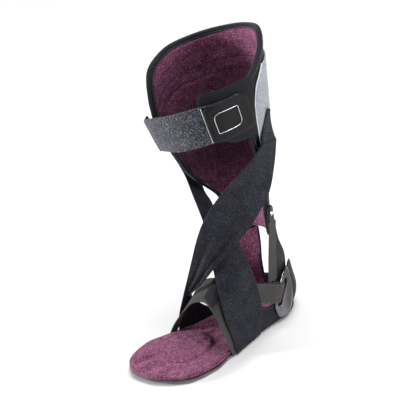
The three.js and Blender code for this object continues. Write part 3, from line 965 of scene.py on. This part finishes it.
FABRIC_OFF = SKIN + FABRIC_T / 2
panel = cloth("felt_panel", on_leg(panel_place, FABRIC_OFF), FABRIC_T, step=3, turned=True)
dress(panel, PANEL, "panel", "calf", "loop_panel")


def piping_line(outward, off):
    z = np.linspace(PANEL_LOW, PANEL_HIGH, 120)
    return leg(smooth(PANEL_FRONT, z) + outward, z, off)


piping_front = piping_line(1.2, 30) - piping_line(1.2, 0)
piping = tube("panel_edge_piping", piping_line(1.2, SKIN + 0.75), 0.8, piping_front)
dress(piping, TRIM, "trim", "calf", "panel_piping")


FLAP_END = 143
FLAP_LOW = 252
FLAP_HIGH = 320


def flap_place(u, v):
    """From the lateral edge across the front: its lower edge rises and its free corner is rounded."""
    high = FLAP_HIGH - 6 * np.maximum(0, (u - 0.85) / 0.15)**2
    low = FLAP_LOW + 34 * u**3
    return mix(RIM_LATERAL, FLAP_END, u), mix(low, high, v)


flap_at = on_leg(flap_place, FABRIC_OFF)
flap = cloth("front_closing_flap", flap_at, FABRIC_T, step=2, turned=True)
dress(flap, FLAP, "textile", "calf", "front_flap")
flap_line = np.linspace(0.02, 0.98, 100)
flap_seams = [seam(flap_at, flap_line, np.array(0.95), 0.75, True),
              seam(flap_at, flap_line, np.array(0.04), 0.75, True),
              seam(flap_at, np.array(0.96), flap_line, 0.75, True)]
flap_stitching = stitches("flap_stitching", flap_seams, pitch=2.4, length=1.6, radius=0.18)
dress(flap_stitching, BLACK_THREAD, "textile", "calf")


RING_Z = 241
KEEPER_W = 34


def keeper_place(u, v):
    return mix(231, 250, u) - 7 * (v - 0.5), RING_Z + KEEPER_W * (v - 0.5)


keeper = cloth("ring_keeper_tape", on_leg(keeper_place, FABRIC_OFF), FABRIC_T, step=1.5, turned=True)
dress(keeper, TEXTILE, "textile", "calf", "ring_keeper")

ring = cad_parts["strap_ring"]
paint(ring, SHELL)
ring.data.polygons.foreach_set("use_smooth", [True] * len(ring.data.polygons))

# ---- calf strap
STRAP_MEDIAL = 226
STRAP_LATERAL = 94
STRAP_LOW = SKIN + 2.2
STRAP_T = 1.8
PAD_LOW = STRAP_LOW + STRAP_T + GAP
PAD_START = 0.69
PAD_END = 1.035
STRAP_RISE = [[0, RING_Z], [0.35, 267], [0.69, 285], [1.04, 288]]


def strap_place(u, v, width):
    across = v - 0.5
    angle = mix(STRAP_MEDIAL, STRAP_LATERAL, u) + across * mix(-9, 8, np.minimum(1, u / PAD_START))
    return angle, smooth(STRAP_RISE, u) + across * width


# turn of the strap round the ring: degrees behind the ring's bar, distance from the leg
TURN = curve([[-13, 3.9, 0], [-6, 3.7, 0], [-1, 3.6, 0], [1.9, 4.2, 0], [2.9, 5.9, 0], [1.9, 7.6, 0],
              [-1, 8.0, 0], [-4, 7.1, 0], [-8, 6.1, 0], [-13, STRAP_LOW + STRAP_T / 2, 0]])
TURN_SHARE = 0.2
BAR_ANGLE = 229.4
STRAP_START = (STRAP_MEDIAL - (BAR_ANGLE - 13)) / (STRAP_MEDIAL - STRAP_LATERAL)


def calf_strap_at(u, v):
    """From the end tucked under the strap, round the ring's bar, then across the front of the leg."""
    way = u / TURN_SHARE
    round_bar = TURN(np.clip(way, 0, 1))
    far = np.clip((u - TURN_SHARE) / (1 - TURN_SHARE), 0, 1)
    angle, z = strap_place(mix(STRAP_START, 1, far), v, CALF_STRAP_W)
    tucked = np.clip(1 - way / 0.4, 0, 1)
    level = RING_Z + (v - 0.5) * CALF_STRAP_W * (1 - 0.16 * tucked) + 1.5 * tucked
    turn_z = mix(level, z, np.clip(4 * way - 3, 0, 1))
    turn_angle = BAR_ANGLE + round_bar[..., 0] - 9 * (v - 0.5)
    in_turn = way < 1
    off = np.where(in_turn, round_bar[..., 1], STRAP_LOW + STRAP_T / 2)
    angle = np.where(in_turn, turn_angle, angle)
    straight = np.clip((229 - angle) / 8, 0, 1) * np.clip((angle - 165) / 45, 0, 1)
    off = off - 6.5 * straight * (1 - v)**1.2
    return leg(angle, np.where(in_turn, turn_z, z), off)


calf_strap = cloth("calf_loop_strap", calf_strap_at, STRAP_T, step=1.2, turned=True)
dress(calf_strap, LOOP, "loop", "strap", "calf_strap")


def rounded_square(count, exponent, opposite=None):
    """Points round a square of half width 1. A high exponent gives sharp corners, and opposite is
    the exponent of the upper left and lower right corners, where it differs."""
    turn = full_turn(count)
    c = np.cos(turn)
    s = np.sin(turn)
    big = np.maximum(np.abs(c), np.abs(s))
    p = c / big
    q = s / big
    if opposite:
        exponent = np.where(c * s > 0, exponent, opposite)
    norm = (np.abs(p)**exponent + np.abs(q)**exponent + 1e-12)**(1 / exponent)
    return p / norm, q / norm


def pad_place(u, v):
    return strap_place(mix(PAD_START, PAD_END, u), v, CALF_STRAP_W)


def badge(name, low, high, crown, rings=26, count=120):
    """Moulded pad with rounded corners: rings from the middle to the rim, front and back."""
    p, q = rounded_square(count, 7.0)
    verts = []
    shares = np.concatenate([np.linspace(0.04, 0.9, rings), [0.93, 0.96, 0.98, 0.993, 1.0]])
    for front in (True, False):
        for share in (shares if front else shares[-2::-1]):
            edge = math.sqrt(max(0, 1 - max(0, (share - 0.9) / 0.1)**2))
            ridge = crown(share) if front else 0
            middle = (low + high) / 2
            off = middle + (high - low) / 2 * edge * (1 if front else -1) + ridge * edge
            angle, z = pad_place(0.5 + 0.5 * share * p, 0.5 + 0.5 * share * q)
            verts.append(leg(angle, z, off))
    return make(name, np.vstack(verts), rod_faces(len(verts), count))


def badge_relief(share):
    """Raised line near the rim and a slightly sunk middle."""
    line = 0.45 * math.exp(-((share - 0.84) / 0.02)**2)
    return line - 0.35 * (share < 0.78) * min(1, (0.78 - share) / 0.05)


pad = badge("closure_badge", PAD_LOW, PAD_LOW + PAD_T, badge_relief)
dress(pad, RUBBER, "rubber", "strap", "closure_pad")


def frame_outline():
    """The empty frame line: sharp and round corners by turns."""
    p, q = rounded_square(160, 30.0, 4.0)
    angle, z = pad_place(0.45 + 0.275 * p, 0.515 + 0.265 * q)
    line = leg(angle, z, PAD_LOW + PAD_T)
    return line, leg(angle, z, PAD_LOW + PAD_T + 1) - line


frame_points, frame_front = frame_outline()
badge_frame = tube("badge_frame_line", frame_points, 0.42, frame_front, closed=True, sides=8)
dress(badge_frame, STEEL, "steel", "strap", "pad_frame")


HOOK_START = 0.72
HOOK_END = 0.98
HOOK_W = 34
HOOK_T = 0.5
HOOK_OFF = (SKIN + 1.55 + STRAP_LOW - 0.15) / 2


def hook_place(u, v):
    return strap_place(mix(HOOK_START, HOOK_END, u), v, HOOK_W)


hook = cloth("hook_fastener", on_leg(hook_place, HOOK_OFF), HOOK_T, step=2, turned=True)
dress(hook, TEXTILE, "textile", "strap", "hook_patch")

edge_angle, edge_z = pad_place(np.full(60, 0.0), np.linspace(0.04, 0.96, 60))
edge_line = leg(edge_angle + 1.2, edge_z, STRAP_LOW + STRAP_T + 0.35)
edge_front = leg(edge_angle + 1.2, edge_z, 20) - edge_line
strap_piping = dress(tube("badge_edge_piping", edge_line, 0.42, edge_front), TRIM, "trim", "strap")

# ---- cross straps and instep band
TOP_FRONT = [[64, -12, 240], [63, -27, 229], [55, -49, 213], [40, -63, 192], [20.5, -72, 163],
             [8, -76, 139], [-2, -81.5, 110], [-13.9, -87, 76], [-26.5, -87, 50], [-38.3, -88.7, 22],
             [-41.8, -90, 1]]
TOP_REAR = [[51.5, 17, 230], [54, 7, 203], [52.5, -3, 176], [49.5, -19, 156], [44, -34, 139],
            [36, -47, 125], [28, -59, 111.5], [17, -72, 95], [1.5, -78.5, 75], [-16, -82, 58],
            [-31, -69, 41], [-34, -57, 25], [-33.6, -45, 12], [-32.2, -40, 1]]
UNDER_FRONT = [[-66, -14, 236], [-64, -35.5, 204], [-50.4, -35.4, 175], [-26.7, -45.8, 158],
               [-5, -56, 145], [5, -59, 124], [14, -67.5, 96], [32, -78, 70], [42, -83, 45],
               [45, -81, 26], [46.2, -79, 1]]
UNDER_REAR = [[-56, 19, 230], [-58.5, 3, 198], [-53.6, -13.6, 172], [-45, -18.6, 155.5],
              [-25, -25.5, 149], [-6, -35, 147], [14, -39, 139], [29, -40, 124], [35, -34, 95],
              [38.5, -29, 58], [39.5, -29, 27], [38.4, -36, 1]]
BAND_FRONT = [[45.2, -84, 1], [45, -88, 22], [40.5, -91, 43], [31, -91, 58], [14, -87, 61],
              [-7, -88, 53], [-23, -89, 38], [-36.6, -97.5, 18], [-44.6, -103, 1]]
BAND_REAR = [[42.4, -71, 1], [40.4, -69, 24], [35.4, -69, 45], [26, -66, 67], [9, -61, 77],
             [-10, -66, 70.5], [-22, -74, 51], [-34.4, -85, 24], [-41.8, -94.5, 1]]


def window(x, low, high, soft=0.08):
    """1 between low and high, 0 outside, with soft ends."""
    rise = np.clip((x - low) / soft, 0, 1)
    fall = np.clip((high - x) / soft, 0, 1)
    return rise * rise * (3 - 2 * rise) * fall * fall * (3 - 2 * fall)


def crease(u, v, centre, slope, width, depth, low, high):
    """One long soft fold that runs along a strap."""
    away = (v - centre - slope * (u - 0.5)) / width
    return depth * np.exp(-away * away) * window(u, low, high, 0.12)


def top_folds(u, v):
    """Long folds where the strap gathers towards the sole, and a soft roll at its lower edge."""
    return (crease(u, v, 0.42, 0.5, 0.10, 1.2, 0.40, 0.84)
            - crease(u, v, 0.60, 0.5, 0.07, 1.5, 0.36, 0.86)
            + crease(u, v, 0.76, 0.4, 0.07, 1.6, 0.34, 0.88)
            - crease(u, v, 0.88, 0.3, 0.05, 1.0, 0.34, 0.8) + 0.3 * ripple(u * 17, v * 3, 0.3))


def under_folds(u, v):
    """Folds beside the crossing, and the sunk line sewn beside the front edge."""
    return (crease(u, v, 0.5, -0.4, 0.12, 0.7, 0.12, 0.5)
            - crease(u, v, 0.17, 0.02, 0.035, 0.9, 0.5, 0.98)
            - crease(u, v, 0.82, 0.1, 0.06, 0.5, 0.5, 0.95) + 0.25 * ripple(u * 15, v * 3, 1.3))


top_at = between(TOP_FRONT, TOP_REAR)
under_at = between(UNDER_FRONT, UNDER_REAR)
top_strap = cloth("top_elastic_strap", top_at, ELASTIC_T, step=1.6, fold=top_folds, turned=True)
dress(top_strap, ELASTIC, "elastic", ANKLE, "top_cross_strap")
under_strap = cloth("under_elastic_strap", under_at, ELASTIC_T, step=1.6, fold=under_folds)
dress(under_strap, ELASTIC, "elastic", ANKLE, "under_cross_strap")

band_at = between(BAND_FRONT, BAND_REAR)
band = cloth("instep_webbing", band_at, WEBBING_T, step=1.5)
dress(band, WEBBING, "webbing", "foot", "instep_band")
TAB_FRONT = [[30, -89, 61.5], [22, -87.5, 64.5], [11, -85, 65.5]]
TAB_REAR = [[25.5, -66, 72], [18, -63, 78], [8, -61, 81.5]]
tab_at = between(TAB_FRONT, TAB_REAR)
tab = cloth("instep_tab_patch", tab_at, WEBBING_T, step=1.2)
dress(tab, TEXTILE, "textile", "foot", "instep_tab")

END_LOW = SKIN + FABRIC_T + GAP


def hook_end(side, strap_at):
    """Runs on from the strap's end and settles on the felt panel."""
    def at(u, v):
        # angles and heights of the end's corners, front and rear, and the tip that stands off a little
        angle = side * mix(mix(81, 61, u), mix(48, 56, u), v)
        z = mix(mix(242, 271, u), mix(231, 267, u), v)
        tip = 1.6 * np.clip((u - 0.8) / 0.2, 0, 1)**2
        lying = leg(angle, z, END_LOW + ELASTIC_T / 2 + tip)
        share = np.clip(u / 0.55, 0, 1)[..., None]
        return mix(strap_at(0 * u, v), lying, share * share * (3 - 2 * share))
    return at


top_end = cloth("top_strap_hook_end", hook_end(1, top_at), ELASTIC_T, step=1.5)
dress(top_end, ELASTIC, "elastic", "top_end", "top_strap_end")
under_end = cloth("under_strap_hook_end", hook_end(-1, under_at), ELASTIC_T, step=1.5, turned=True)
dress(under_end, ELASTIC, "elastic", "under_end", "under_strap_end")

# ---- studio
FLOOR_REACH = 6.0
FLOOR_Z = -0.0006
floor_corners = [(x * FLOOR_REACH, y * FLOOR_REACH, FLOOR_Z)
                 for x, y in ((-1, -1), (1, -1), (1, 1), (-1, 1))]
floor_mesh = bpy.data.meshes.new("studio_floor")
floor_mesh.from_pydata(floor_corners, [], [(0, 1, 2, 3)])
floor = add("studio_floor", floor_mesh)
paint(floor, Finish("pale_floor").done(Base_Color=(0.9, 0.9, 0.905, 1), Roughness=0.28))

world = bpy.data.worlds.new("studio")
bpy.context.scene.world = world
world.use_nodes = True
background = world.node_tree.nodes["Background"]
background.inputs["Color"].default_value = (1, 1, 1, 1)
background.inputs["Strength"].default_value = 0.16
bpy.context.scene.view_settings.view_transform = "Standard"


def softbox(name, place, power, size):
    light = bpy.data.lights.new(name, "AREA")
    light.energy = power
    light.size = size
    lamp = add(name, light)
    lamp.location = place
    lamp.rotation_euler = (CAMERA_TARGET - Vector(place)).to_track_quat("-Z", "Y").to_euler()


softbox("key", (-1.5, -1.7, 0.6), power=62, size=0.5)
softbox("top", (0.2, 0.9, 4.0), power=175, size=2.4)
softbox("edge", (1.3, 0.3, 0.5), power=9, size=0.4)

azimuth = math.radians(CAMERA_AZIMUTH)
elevation = math.radians(CAMERA_ELEVATION)
roll = math.radians(CAMERA_ROLL)
flat_share = math.cos(elevation)
back = Vector((math.sin(azimuth) * flat_share, -math.cos(azimuth) * flat_share, math.sin(elevation)))
level = Vector((math.cos(azimuth), math.sin(azimuth), 0))
upright = back.cross(level)
right = level * math.cos(roll) - upright * math.sin(roll)
top = upright * math.cos(roll) + level * math.sin(roll)
camera = add("camera", bpy.data.cameras.new("camera"))
camera.data.lens = CAMERA_LENS
camera.data.sensor_width = 36
turned_camera = Matrix((right, top, back)).transposed().to_4x4()
camera.matrix_world = Matrix.Translation(CAMERA_TARGET + back * CAMERA_DISTANCE) @ turned_camera
bpy.context.scene.camera = camera
